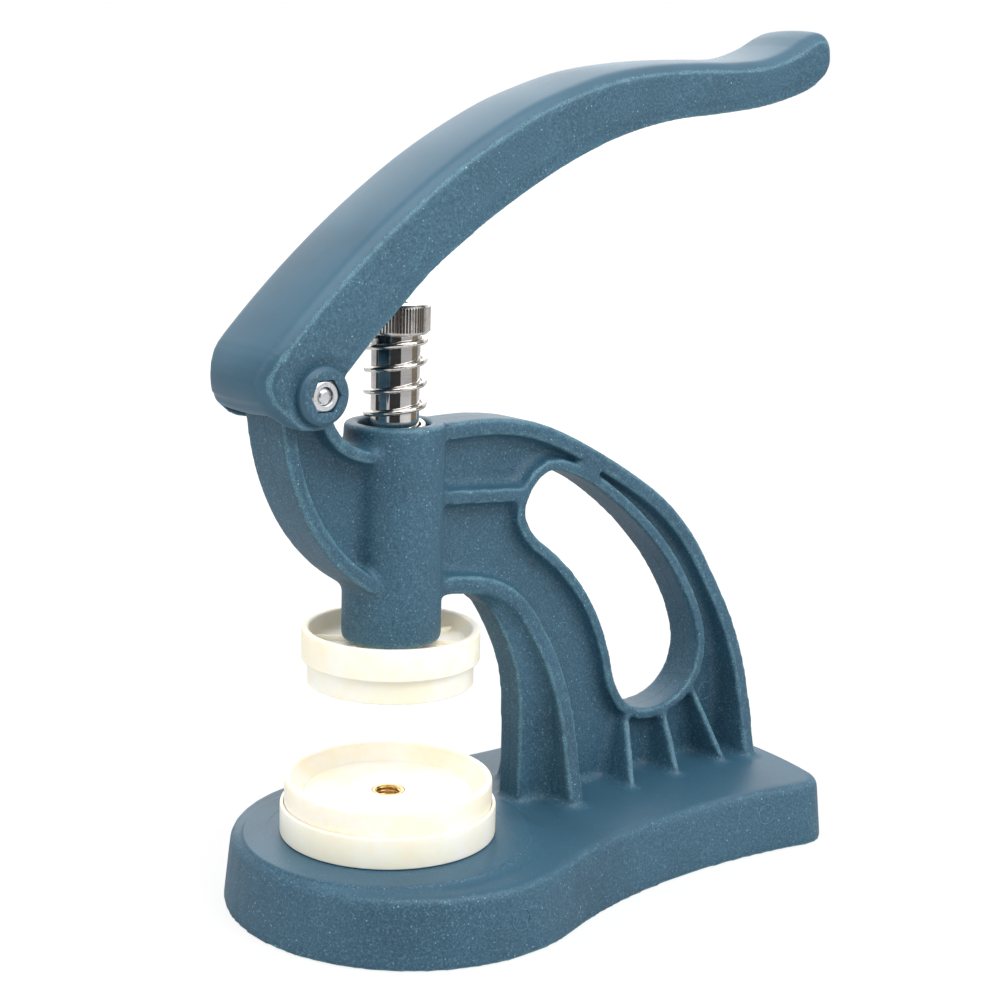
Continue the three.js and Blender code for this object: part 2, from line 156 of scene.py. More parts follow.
def card(name, azimuth, width):
    """A card standing on the table, turned to the press, seen only in reflections."""
    angle = math.radians(azimuth)
    along = Vector((math.cos(angle), math.sin(angle), 0)) * width / 2
    foot, head = around(azimuth, 0.0, CARD_AWAY), around(azimuth, CARD_TALL, CARD_AWAY)
    made = quad(name, [foot - along, foot + along, head + along, head - along])
    for kind in ("camera", "diffuse", "shadow", "transmission", "volume_scatter"):
        setattr(made, "visible_" + kind, False)
    return made


lamp("overhead", 14, 1.3, around(-25, 1.5, 0.7))
lamp("front", 10, 1.0, around(25, 1.0, 1.3))
lamp("left", 5, 1.2, around(-100, 0.7, 1.3))
lamp("behind", 8, 1.4, around(150, 0.9, 1.3))
dark_cards = [card("card_left", -112, 0.85), card("card_middle", -41, 0.8)]
brown_card = card("card_right", 62, 0.7)
print("lamps and cards are set, and the camera looks from", [round(c, 3) for c in camera.location])

# %% [markdown]
# ## Writing nodes as arithmetic
#
# Materials and Geometry Nodes are both graphs of small operations. Wiring them by hand is
# slow to read, so `Socket` wraps one output and teaches it arithmetic: `1 - mask * 0.5`
# adds the Math nodes by itself. `Graph.node` makes any other node: its kind, then its
# settings, then what goes into its sockets.

# %% A graph that can be written as sums
class Socket:
    def __init__(self, graph, output):
        self.graph, self.output = graph, output

    def _math(self, operation, first, second=0.0):
        return self.graph.node("ShaderNodeMath", {"operation": operation}, {0: first, 1: second})

    def __add__(self, other):
        return self._math("ADD", self, other)

    def __sub__(self, other):
        return self._math("SUBTRACT", self, other)

    def __rsub__(self, other):
        return self._math("SUBTRACT", other, self)

    def __mul__(self, other):
        return self._math("MULTIPLY", self, other)

    def __truediv__(self, other):
        return self._math("DIVIDE", self, other)

    def power(self, other):
        return self._math("POWER", self, other)

    def least(self, other):
        return self._math("MINIMUM", self, other)

    def most(self, other):
        return self._math("MAXIMUM", self, other)

    def size(self):
        return self._math("ABSOLUTE", self)

    def sine(self):
        return self._math("SINE", self)

    def cosine(self):
        return self._math("COSINE", self)

    def ramp(self, start, end):
        """0 before start, 1 after end, and smooth between them; end may be the lower one."""
        ends = {"From Min": start, "From Max": end}
        settings = {"interpolation_type": "SMOOTHSTEP"}
        if start > end:
            return 1 - self.ramp(end, start)
        return self.graph.node("ShaderNodeMapRange", settings, {"Value": self, **ends})

    __radd__ = __add__
    __rmul__ = __mul__


class Graph:
    def __init__(self, tree):
        self.tree = tree

    def node(self, kind, settings=None, inputs=None, out=0):
        """One node: its settings first, then its sockets' values or links; out picks the output."""
        made = self.tree.nodes.new(kind)
        for name, value in (settings or {}).items():
            setattr(made, name, value)
        for key, value in (inputs or {}).items():
            target = made.inputs[key] if isinstance(key, int) else next(
                s for s in made.inputs if s.name == key and s.enabled)
            if isinstance(value, Socket):
                self.tree.links.new(value.output, target)
            else:
                target.default_value = value
        found = made.outputs[out] if isinstance(out, int) else next(
            s for s in made.outputs if s.name == out and s.enabled)
        return Socket(self, found)

    def vector(self, operation, first, second=None, scale=None, out="Vector"):
        values = {0: first}
        if second is not None:
            values[1] = second
        if scale is not None:
            values["Scale"] = scale
        return self.node("ShaderNodeVectorMath", {"operation": operation}, values, out)

    def part(self, vector, axis):
        return self.node("ShaderNodeSeparateXYZ", None, {0: vector}, axis)

    def place(self, x, y, z):
        return self.node("ShaderNodeCombineXYZ", None, {"X": x, "Y": y, "Z": z})


print("graphs can now be written as sums")

# %% [markdown]
# ## Finishes
#
# Each finish is a function that builds one material. All of them work in millimetres on the
# object's own coordinates, so a grain of half a millimetre is half a millimetre on every
# piece, and nothing slides when the lever moves.

# %% A surface with its coordinates in millimetres
def tint(red, green, blue):
    """A colour given as on a screen, 0 to 255, as the linear light that shaders use."""
    return tuple(((c / 255 + 0.055) / 1.055) ** 2.4 if c > 10 else c / 255 / 12.92
                 for c in (red, green, blue)) + (1.0,)


class Surface(Graph):
    def __init__(self, name):
        self.material = bpy.data.materials.new(name)
        self.material.use_nodes = True
        super().__init__(self.material.node_tree)
        self.tree.nodes.clear()
        here = self.node("ShaderNodeTexCoord", out="Object")
        self.mm = self.vector("SCALE", here, scale=1 / MM)

    def noise(self, size, detail=2.0, rough=0.5, stretch=None):
        """Cloudy noise from 0 to 1 whose blobs are about size millimetres."""
        where = self.mm if stretch is None else self.vector("MULTIPLY", self.mm, stretch)
        return self.node("ShaderNodeTexNoise", None,
                         {"Vector": where, "Scale": 1 / size, "Detail": detail, "Roughness": rough})

    def dots(self, spacing, share, grain):
        """Scattered dots: cells of that spacing, a share of them filled, each about grain wide."""
        cells = {"Vector": self.mm, "Scale": 1 / spacing}
        near = self.node("ShaderNodeTexVoronoi", None, cells, "Distance")
        lot = self.part(self.node("ShaderNodeTexVoronoi", None, cells, "Color"), "X")
        return near.ramp(grain / spacing, grain / spacing * 0.4) * lot.ramp(1 - share, 1.02 - share)

    def mix(self, first, second, share):
        return self.node("ShaderNodeMix", {"data_type": "RGBA"}, {0: share, 6: first, 7: second}, 2)

    def bump(self, height, strength, depth, normal=None):
        values = {"Height": height, "Strength": strength, "Distance": depth * MM}
        if normal is not None:
            values["Normal"] = normal
        return self.node("ShaderNodeBump", None, values)

    def lit(self, **shader):
        """The Principled shader with these sockets."""
        values = {name.replace("_", " "): value for name, value in shader.items()}
        return self.node("ShaderNodeBsdfPrincipled", None, values)

    def finish(self, **shader):
        return self.shown(self.lit(**shader))

    def shown(self, shader):
        end = self.tree.nodes.new("ShaderNodeOutputMaterial")
        self.tree.links.new(shader.output, end.inputs["Surface"])
        return self.material


def plain(name, color):
    s = Surface(name)
    return s.finish(Base_Color=color, Roughness=0.8)


def white_table():
    """A grey table that the camera sees as white, but for a breath of shadow by the press."""
    s = Surface("white table")
    across, out = s.part(s.mm, "X"), s.part(s.mm, "Y")
    away = (across * across + out * out).power(0.5)
    seen = s.node("ShaderNodeLightPath", out="Is Camera Ray")
    glow = s.node("ShaderNodeEmission", None, {"Color": (1.0, 1.0, 1.0, 1.0), "Strength": 1.15})
    share = seen * (away.ramp(180.0, 420.0) * 0.3 + 0.7)
    table = s.lit(Base_Color=(0.55, 0.55, 0.55, 1.0), Roughness=0.9)
    return s.shown(s.node("ShaderNodeMixShader", None, {0: share, 1: table, 2: glow}))


floor.data.materials.append(white_table())
card_black = plain("black card", (0.012, 0.012, 0.014, 1.0))
for made in dark_cards:
    made.data.materials.append(card_black)
brown_card.data.materials.append(plain("brown card", (0.2, 0.165, 0.12, 1.0)))

AMBIENT = 0.75
world = bpy.data.worlds.new("studio")
world.use_nodes = True
sky = Graph(world.node_tree)
ray = world.node_tree.nodes.new("ShaderNodeLightPath")
direct = Socket(sky, ray.outputs["Is Camera Ray"]).most(Socket(sky, ray.outputs["Is Glossy Ray"]))
backdrop = world.node_tree.nodes["Background"]
backdrop.inputs["Color"].default_value = (1.0, 1.0, 1.0, 1.0)
strength = direct * (1 - AMBIENT) + AMBIENT
world.node_tree.links.new(strength.output, backdrop.inputs["Strength"])
scene.world = world
print("finishes so far:", len(bpy.data.materials))

# %% [markdown]
# The frame and the lever are moulded in one petrol-blue plastic. The tool's steel was
# spark-eroded, which leaves a fine pebbled grain; where it would catch light, painted glints
# stand as tiny pale specks. The plastic is painted paler along its edges: partly wear, where it
# thins out at an edge or was scraped leaving the tool, partly a painted highlight. The
# tool's two halves leave a hairline along the middle. An attribute called `edge`, measured
# on the mesh when it is made, tells the material where its sharp edges are.

# %% The blue moulding
SHADE, BODY, LIGHT = tint(26, 56, 75), tint(47, 85, 106), tint(92, 134, 154)
SCRAPED_AND_HIGHLIT, GLINT_SPECK, FLASH = tint(118, 168, 182), tint(170, 214, 222), tint(96, 190, 196)


def blue_moulding(name, pale, cast_in_halves):
    """The blue: pale lightens it, and a frame cast in halves has a seam and a foot line.

    The frame is pebbled but for its level faces, the lever on its sides alone."""
    s = Surface(name)
    facing = s.node("ShaderNodeTexCoord", out="Normal")
    if cast_in_halves:
        grained = 1 - s.part(facing, "Z").ramp(0.7, 0.95) * 0.6
    else:
        grained = s.part(facing, "Y").size().ramp(0.75, 0.95) * 0.9 + 0.1
    edge = s.node("ShaderNodeAttribute", {"attribute_name": "edge"}, out="Fac")
    cloud = s.noise(38.0, 3.0)
    pebble = s.noise(0.78, 3.0, 0.7)
    fine = s.noise(0.32, 2.0)
    color = s.mix(SHADE, BODY, cloud.ramp(0.2, 0.6) * 0.6 + 0.4)
    color = s.mix(color, LIGHT, pale)
    color = s.mix(color, LIGHT, pebble.ramp(0.5, 0.7) * grained * 0.55)
    color = s.mix(color, SHADE, pebble.ramp(0.5, 0.32) * grained * 0.6)
    # Paler edges: partly wear and scraping, partly a painted highlight along the edges and the lever's
    # shoulders.
    rubbed_and_highlit = (edge * 1.1 + s.noise(5.0, 3.0) * 0.8 - 0.5).ramp(0.12, 0.62)
    color = s.mix(color, SCRAPED_AND_HIGHLIT, rubbed_and_highlit * fine.ramp(0.35, 0.68) * 0.6)
    # Painted glints: pale specks where the pebbled grain would catch light, more of them on edges.
    specks = s.dots(1.3, 0.17, 0.3) + s.dots(2.6, 0.14, 0.42)
    color = s.mix(color, GLINT_SPECK, (specks * grained * (0.42 + edge * 0.4)).least(1.0))
    skin = s.bump(fine, 0.35, 0.05, s.bump(pebble * grained, 0.8, 0.16))
    if cast_in_halves:
        height, middle = s.part(s.mm, "Z"), s.part(s.mm, "Y").size()
        foot = height.ramp(0.9, 0.4) * s.noise(4.0, 3.0).ramp(0.38, 0.6)
        color = s.mix(color, FLASH, foot * 0.75)
        across = s.part(s.mm, "X") - AXIS_X
        off_tube = (across * across + middle * middle).power(0.5).ramp(18.5, 19.5)
        seam = off_tube * height.ramp(29.0, 31.0)
        color = s.mix(color, SHADE, seam * middle.ramp(0.3, 0.12) * 0.5)
        skin = s.bump(middle.ramp(0.45, 0.2) * seam, 0.6, 0.12, skin)
    rough = 0.38 + grained * 0.1 + pebble * 0.16 - cloud * 0.08
    return s.finish(Base_Color=color, Roughness=rough, Normal=skin, IOR=1.47)


frame_blue = blue_moulding("blue moulding", 0.05, True)
lever_blue = blue_moulding("blue lever moulding", 0.14, False)
print("the blue has", len(frame_blue.node_tree.nodes), "nodes")

# %% [markdown]
# The dies are moulded in an ivory plastic that lets a little light in: it glows where it is
# thin and goes warm in its hollows. Subsurface scattering does that. Its mark on the
# surface is faint: rings left by turning the tool, and dust-fine specks.

# %% The ivory plastic
IVORY, CREAM, STAIN = tint(255, 250, 239), tint(254, 242, 218), tint(226, 204, 166)


def ivory_plastic():
    s = Surface("ivory plastic")
    cloud = s.noise(16.0, 3.0)
    streak = s.noise(3.4, 3.0, 0.6)
    color = s.mix(CREAM, IVORY, (cloud * 0.8 + streak * 0.3).ramp(0.35, 0.75))
    color = s.mix(color, STAIN, s.dots(4.3, 0.1, 0.35) * 0.5)
    across = s.part(s.mm, "X") - AXIS_X
    out = s.part(s.mm, "Y")
    ring = (across * across + out * out).power(0.5)
    rings = (ring * 5.2).sine() * 0.5 + 0.5
    skin = s.bump(rings, 0.12, 0.02, s.bump(s.noise(0.6, 2.0), 0.15, 0.03))
    rough = 0.3 + cloud * 0.12 + streak * 0.08
    return s.finish(Base_Color=color, Roughness=rough, Normal=skin, IOR=1.49,
                    Subsurface_Weight=0.35, Subsurface_Scale=0.0025,
                    Subsurface_Radius=(1.0, 0.62, 0.34))


ivory = ivory_plastic()
print("the ivory has", len(ivory.node_tree.nodes), "nodes")

# %% [markdown]
# Five metals follow. All of them are full metals whose colour is their reflection. They
# differ in tint, in how rough they are, and in what the maker's machine left on them: fine
# rings on the turned rod and the brass, and an even mottle on the spring's wire, on the
# knurled head and on the zinc plating of the nut and bolt.

# %% The metals
def metal(name, color, dull, rough, spread, grain, stretch, depth):
    """A bare metal: its colour and a duller one, its roughness and how far that strays.

    Its marks are about grain millimetres, pulled out by stretch and depth millimetres deep."""
    s = Surface(name)
    patch = s.noise(grain * 6, 3.0, 0.6)
    lines = s.noise(grain, 3.0, 0.6, stretch)
    shade = s.mix(color, dull, (patch * 0.6 + lines * 0.6).ramp(0.45, 0.85))
    return s.finish(Base_Color=shade, Metallic=1.0,
                    Roughness=rough + (patch - 0.5) * spread + (lines - 0.5) * spread,
                    Normal=s.bump(lines, 0.3, depth))


EVEN, TURNED_RINGS = (1.0, 1.0, 1.0), (0.05, 0.05, 2.5)
chrome = metal("polished chrome", (0.8, 0.79, 0.78, 1), (0.6, 0.58, 0.56, 1),
               rough=0.07, spread=0.05, grain=0.8, stretch=TURNED_RINGS, depth=0.004)
wire_chrome = metal("spring wire", (0.78, 0.75, 0.71, 1), (0.5, 0.47, 0.44, 1),
                    rough=0.13, spread=0.1, grain=0.7, stretch=EVEN, depth=0.01)
nickel = metal("knurled nickel", (0.72, 0.68, 0.64, 1), (0.42, 0.39, 0.36, 1),
               rough=0.2, spread=0.14, grain=0.6, stretch=EVEN, depth=0.02)
zinc = metal("zinc plating", (0.76, 0.77, 0.79, 1), (0.52, 0.54, 0.57, 1),
             rough=0.3, spread=0.2, grain=0.5, stretch=EVEN, depth=0.03)
brass = metal("turned brass", (0.86, 0.62, 0.3, 1), (0.62, 0.4, 0.17, 1),
              rough=0.19, spread=0.12, grain=0.4, stretch=TURNED_RINGS, depth=0.01)
print("finishes:", sorted(m.name for m in bpy.data.materials))

# %% [markdown]
# ## Geometry Nodes from Python
#
# What repeats or follows a rule is grown by Geometry Nodes. `start_tree` makes a tree with
# named inputs, `end_tree` closes it with Realize Instances and Set Material, and `grow`
# runs it once on a start mesh and keeps the plain mesh that comes out.

# %% Helpers that build and run a tree
KINDS = {int: "NodeSocketInt", float: "NodeSocketFloat", Vector: "NodeSocketVector"}


def start_tree(name, **inputs):
    tree = bpy.data.node_groups.new(name, "GeometryNodeTree")
    tree.interface.new_socket("Geometry", in_out="OUTPUT", socket_type="NodeSocketGeometry")
    tree.interface.new_socket("Geometry", in_out="INPUT", socket_type="NodeSocketGeometry")
    for label, value in inputs.items():
        made = tree.interface.new_socket(label, in_out="INPUT", socket_type=KINDS[type(value)])
        made.default_value = value
    tree.interface.new_socket("Material", in_out="INPUT", socket_type="NodeSocketMaterial")
    graph = Graph(tree)
    given = tree.nodes.new("NodeGroupInput")
    return graph, {s.name: Socket(graph, s) for s in given.outputs if s.name}


def end_tree(graph, given, geometry):
    real = graph.node("GeometryNodeRealizeInstances", None, {"Geometry": geometry})
    smooth = graph.node("GeometryNodeSetShadeSmooth", None, {"Geometry": real})
    dressed = graph.node("GeometryNodeSetMaterial", None,
                         {"Geometry": smooth, "Material": given["Material"]})
    end = graph.tree.nodes.new("NodeGroupOutput")
    graph.tree.links.new(dressed.output, end.inputs[0])
    return graph.tree


def settled(holder):
    """The holder's mesh with its modifiers worked in. The holder goes."""
    depsgraph = bpy.context.evaluated_depsgraph_get()
    mesh = bpy.data.meshes.new_from_object(
        holder.evaluated_get(depsgraph), preserve_all_data_layers=True, depsgraph=depsgraph)
    bpy.data.objects.remove(holder)
    return mesh


def add_nodes(holder, tree, material, **values):
    modifier = holder.modifiers.new(tree.name, "NODES")
    modifier.node_group = tree
    for item in tree.interface.items_tree:
        label = item.name.replace(" ", "_")
        if item.in_out == "INPUT" and label in values:
            modifier[item.identifier] = values[label]
        if item.name == "Material":
            modifier[item.identifier] = material


def grow(name, tree, material, start=None, **values):
    holder = link(name + " start", start or bpy.data.meshes.new(name + " start"))
    add_nodes(holder, tree, material, **values)
    mesh = settled(holder)
    mesh.name = name
    return link(name, mesh)


def keep(piece, body, slot, *replaced):
    """Every finished piece rides on a body and may stand for CAD parts; slot, which would name its finish,
    is not used.
    """
    if replaced:
        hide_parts(*replaced)
    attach(piece, body)
    print(f"{piece.name}: {len(piece.data.polygons)} faces on {body}")
    return piece


# %% [markdown]
# ## Moulded shapes
#
# A moulding has no sharp edge anywhere: every outside edge is eased, and every inside
# corner has a fillet, so that the plastic flows and the tool lasts. The mechanical model
# has plain crisp edges. Beveling its hundreds of crossing edges one by one would fail where
# they meet, so the shape is rebuilt from small voxels, which join everything into one even
# skin, and then Geometry Nodes relaxes that skin: each point moves towards the average of
# its neighbours. Flat faces stay flat, edges turn round, and a second pass that works only
# in the hollows widens them into fillets. A third pass rounds whatever lies beyond `Tip`, for
# the lever's grip. The same tree measures how sharply the skin still bends outwards, and
# stores it as the attribute `edge`.

# %% The tree that eases a moulding
TIP_ROUNDS = 16


def easing_tree():
    graph, given = start_tree("ease a moulding", Edges=6, Fillets=24, Tip=1000.0)
    here = graph.node("GeometryNodeInputPosition")
    normal = graph.node("GeometryNodeInputNormal", out="Normal")

    def relaxed(rounds, weight):
        return graph.node("GeometryNodeBlurAttribute", {"data_type": "FLOAT_VECTOR"},
                          {"Value": here, "Iterations": rounds, "Weight": weight}, "Value")

    def outward_bend():
        pull = graph.vector("SUBTRACT", here, relaxed(4, 1.0))
        return graph.vector("DOT_PRODUCT", pull, normal, out="Value") / MM

    def moved(geometry, place):
        return graph.node("GeometryNodeSetPosition", None, {"Geometry": geometry, "Position": place})

    def spread(value, rounds):
        return graph.node("GeometryNodeBlurAttribute", {"data_type": "FLOAT"},
                          {"Value": value, "Iterations": rounds, "Weight": 1.0}, "Value")

    eased = moved(given["Geometry"], relaxed(given["Edges"], 1.0))
    hollow = spread(((outward_bend() * -1.0 - 0.04) * 9.0).most(0.0).least(1.0), 3)
    filled = moved(eased, relaxed(given["Fillets"], hollow))
    beyond = ((graph.part(here, "X") / MM - given["Tip"]) * 0.15).most(0.0).least(1.0)
    filled = moved(filled, relaxed(TIP_ROUNDS, beyond))
    # The ridge value joins the edge measure: painted wear and highlight on the lever's shoulders.
    ridge = graph.node("GeometryNodeInputNamedAttribute", {"data_type": "FLOAT"},
                       {"Name": "ridge"}, "Attribute")
    sharp = spread(((outward_bend() - 0.05) * 4.5).most(ridge).least(1.0), 1)
    marked = graph.node("GeometryNodeStoreNamedAttribute", {"data_type": "FLOAT", "domain": "POINT"},
                        {"Geometry": filled, "Name": "edge", "Value": sharp})
    return end_tree(graph, given, marked)


EASE = easing_tree()


def merged_copy(node):
    """A copy of a CAD part whose loose triangles are joined, with no material."""
    mesh = nodes[node].data.copy()
    work = bmesh.new()
    work.from_mesh(mesh)
    bmesh.ops.remove_doubles(work, verts=work.verts, dist=0.001 * MM)
    work.to_mesh(mesh)
    work.free()
    mesh.materials.clear()
    return mesh


def voxel_skin(mesh, voxel):
    holder = link("skin", mesh)
    remesh = holder.modifiers.new("voxels", "REMESH")
    remesh.mode, remesh.voxel_size = "VOXEL", voxel * MM
    return settled(holder)


def eased_moulding(name, mesh, material, most_triangles, **values):
    """The relaxed skin, thinned where it is flat, as a finished object."""
    holder = link(name + " start", mesh)
    add_nodes(holder, EASE, material, **values)
    mesh = settled(holder)
    triangles = sum(len(p.vertices) - 2 for p in mesh.polygons)
    holder = link(name + " thick", mesh)
    thin = holder.modifiers.new("thin", "DECIMATE")
    thin.ratio = min(1.0, most_triangles / triangles)
    mesh = settled(holder)
    mesh.name = name
    print(name, "skin:", triangles, "triangles, kept", len(mesh.polygons))
    return link(name, mesh)


# %% [markdown]
# ## The frame
#
# Base, curved arm, guide tube and pivot lug are one piece of plastic. A voxel of 0.85 mm
# holds its finest ribs.

# %% The frame moulding
COARSER = 1.0
FRAME_VOXEL, FRAME_TRIANGLES = 0.85, 190000
frame_skin = voxel_skin(merged_copy("frame"), FRAME_VOXEL * COARSER)
frame_piece = eased_moulding("frame_moulding", frame_skin, frame_blue, FRAME_TRIANGLES,
                             Edges=6, Fillets=26)
keep(frame_piece, "press_frame", "blue_moulding", "frame")

# %% [markdown]
# ## The lever
#
# The lever is an open channel, 3.5 mm thick, whose back is slightly crowned and whose long
# shoulders are rounded. Its side view and its plan come from the mechanical model. To round
# the shoulders, each point near the back is described by two numbers: how deep it lies
# under the back, and how far it lies inside the side. Where both are smaller than the
# shoulder's radius, the point is drawn in to that radius. Rays shot at the mechanical part
# give the back's line, the half width along it, and the line of the lower edge. A fine
# groove runs a little above that lower edge, all round the sides and the nose, and a shallow
# valley surrounds each boss of the pivot. The mechanical boss itself is pressed flat here,
# because a crisp one is turned for it later.

# %% The back's line and the lower edge, by rays
SHOULDER, CROWN, CROWN_DEEP = 4.4, 1.5, 9.0
# How much paler the shoulders' ridge is painted: wear and a painted highlight.
RIDGE_WEAR_AND_HIGHLIGHT = 0.75
GROOVE_UP, GROOVE_WIDE, GROOVE_DEEP = 2.6, 0.75, 1.2
CHEEK, BOSS_R = 19.0, 9.8
VALLEY, VALLEY_OUT, VALLEY_WIDE = 1.1, 1.4, 1.3
NOSE_LOW, NOSE_HIGH, NOSE_BACK, LIP_BACK = 184.5, 205.0, -55.0, -62.0
ABOVE, BELOW = 340.0, 150.0
lever_mesh = merged_copy("lever")
lever_low, lever_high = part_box("lever")
front, tip = lever_low.x / MM - AXIS_X, lever_high.x / MM - AXIS_X


def ray_target(mesh):
    """A mesh's faces as a tree that rays can be shot at."""
    return BVHTree.FromPolygons([v.co for v in mesh.vertices], [p.vertices for p in mesh.polygons])


lever_tree = ray_target(lever_mesh)


def back_line():
    """Rows of x, z, outward normal x, z and half width along the lever's nose and back."""
    shots = [(at(-100, 0.1, z), Vector((1, 0, 0))) for z in np.arange(NOSE_LOW, NOSE_HIGH, 1.0)]
    shots += [(at(x, 0.1, ABOVE), Vector((0, 0, -1)))
              for x in np.arange(front + 2.5, tip - 1.5, 1.5)]
    rows = []
    for start, direction in shots:
        hit, normal = lever_tree.ray_cast(start, direction)[:2]
        if hit is None:
            continue
        inside = hit - normal * 1.6 * MM
        side = lever_tree.ray_cast(Vector((inside.x, 0.05, inside.z)), Vector((0, -1, 0)))[0]
        rows.append((hit.x / MM - AXIS_X, hit.z / MM, normal.x, normal.z, abs(side.y) / MM))
    return np.array(rows)


def lower_line():
    """Places x, z along the lower edge: the front lip's, then the side wall's."""
    found = []
    for x in np.arange(front + 4, tip - 4, 1.0):
        start = at(x, -3.0 if x < LIP_BACK else -16.0, BELOW)
        hit = lever_tree.ray_cast(start, Vector((0, 0, 1)))[0]
        if hit is not None:
            found.append((hit.x / MM - AXIS_X, hit.z / MM))
    return np.array(found)


back, lower = back_line(), lower_line()
print("back line of", len(back), "places, lower edge of", len(lower))


# %% The lever moulding
def read_points(mesh, what):
    flat = np.empty(len(mesh.vertices) * 3, np.float32)
    mesh.vertices.foreach_get(what, flat)
    return flat.reshape(-1, 3).astype(float)


def groove_and_valleys(points, normals):
    """Presses the groove above the lower edge and the valleys round the bosses."""
    x, y, z = points.T
    side = np.sign(y)
    outer = (normals[:, 1] * side > 0.5) | ((normals[:, 0] < -0.5) & (x < NOSE_BACK))
    gap = np.full(len(points), 1e9)
    for low_x, low_z in lower:
        gap = np.minimum(gap, np.hypot(x - low_x, z - low_z))
    depth = np.where(outer, GROOVE_DEEP * np.exp(-((gap - GROOVE_UP) / GROOVE_WIDE) ** 2), 0)
    points -= normals * depth[:, None]
    from_pivot = np.hypot(points[:, 0] - PIVOT_X, points[:, 2] - PIVOT_Z)
    ring = VALLEY * np.exp(-((from_pivot - BOSS_R - VALLEY_OUT) / VALLEY_WIDE) ** 2)
    limit = np.where(from_pivot < BOSS_R + VALLEY_OUT, CHEEK - VALLEY, CHEEK - ring)
    raised = (from_pivot < BOSS_R + 6) & (np.abs(y) > CHEEK - 2.5)
    points[:, 1] = np.where(raised, side * np.minimum(np.abs(points[:, 1]), limit), points[:, 1])


def rounded_shoulders(mesh):
    """Draws the points in to the shoulders, crowns the back and marks the shoulders' ridge, which the
    material paints paler: wear and a painted highlight.
    """
    ridge = mesh.attributes.new("ridge", "FLOAT", "POINT")
    worn_and_highlit = np.zeros(len(mesh.vertices), np.float32)
    points = read_points(mesh, "co") / MM
    points[:, 0] -= AXIS_X
    groove_and_valleys(points, read_points(mesh, "normal"))
    for part in np.array_split(np.arange(len(points)), 40):
        x, y, z = points[part].T
        near = np.argmin((x[:, None] - back[:, 0]) ** 2 + (z[:, None] - back[:, 1]) ** 2, axis=1)
        row = back[near]
        normal = row[:, 2:4] / np.linalg.norm(row[:, 2:4], axis=1, keepdims=True)
        deep = (row[:, 0] - x) * normal[:, 0] + (row[:, 1] - z) * normal[:, 1]
        short = row[:, 4] - np.abs(y)
        a, b = np.clip(SHOULDER - deep, 0, SHOULDER), np.clip(SHOULDER - short, 0, SHOULDER)
        length = np.hypot(a, b)
        pull = np.where((a > 0) & (b > 0) & (length > SHOULDER), 1 - SHOULDER / np.maximum(length, 1e-9), 0)
        # The ridge value paints the shoulder paler: wear and a painted highlight.
        worn_and_highlit[part] = RIDGE_WEAR_AND_HIGHLIGHT * np.exp(-((a / SHOULDER - 0.4) / 0.22) ** 2) * (b > 0.5 * SHOULDER)
        fading = np.clip((CROWN_DEEP - deep) / 5, 0, 1)
        crown = CROWN * np.clip(np.abs(y) / row[:, 4], 0, 1) ** 2 * fading
        inward = a * pull + crown
        points[part, 0] -= normal[:, 0] * inward
        points[part, 2] -= normal[:, 1] * inward
        points[part, 1] -= np.sign(y) * b * pull
    points[:, 0] += AXIS_X
    ridge.data.foreach_set("value", worn_and_highlit)
    mesh.vertices.foreach_set("co", (points * MM).astype(np.float32).ravel())
    mesh.update()


LEVER_VOXEL, LEVER_TRIANGLES, GRIP = 0.7, 170000, 12
lever_skin = voxel_skin(lever_mesh, LEVER_VOXEL * COARSER)
rounded_shoulders(lever_skin)
lever_piece = eased_moulding("lever_moulding", lever_skin, lever_blue, LEVER_TRIANGLES,
                             Edges=4, Fillets=16, Tip=AXIS_X + tip - GRIP)
keep(lever_piece, "lever_arm", "blue_moulding", "lever")

# %% [markdown]
# ## Turned pieces
#
# The dies, the spindle, the head, the inserts, the bolts and the nut all come off a lathe
# or out of a round tool, so one function turns them. An outline is a list of corners: a
# radius, a height, and how far back the corner is eased. A radius or a height may also be a
# function of the angle, and a hexagon is just a radius that changes six times a turn.

# %% A lathe
UPRIGHT = Matrix.Translation(at(0, 0, 0)) @ Matrix.Scale(MM, 4)
ACROSS = (Matrix.Translation(at(PIVOT_X, 0, PIVOT_Z))
          @ Matrix.Rotation(-math.pi / 2, 4, "X") @ Matrix.Scale(MM, 4))
SIXTH = math.pi / 3


def hexagon(flat):
    """Half the width across the flats, as a radius that changes with the angle."""
    return lambda angle: flat / math.cos(angle % SIXTH - SIXTH / 2)


def eased(corners, steps=5):
    """The outline with each corner cut back by its ease and bridged by a curve."""
    line = []
    for i, (r, z, ease) in enumerate(corners):
        here = Vector((r, z))
        before = Vector(corners[i - 1][:2]) - here
        after = Vector(corners[(i + 1) % len(corners)][:2]) - here
        if ease == 0:
            line.append(here)
            continue
        start = here + before.normalized() * min(ease, before.length / 2)
        end = here + after.normalized() * min(ease, after.length / 2)
        for k in range(steps + 1):
            t = k / steps
            line.append(start * (1 - t) ** 2 + here * 2 * t * (1 - t) + end * t * t)
    return line


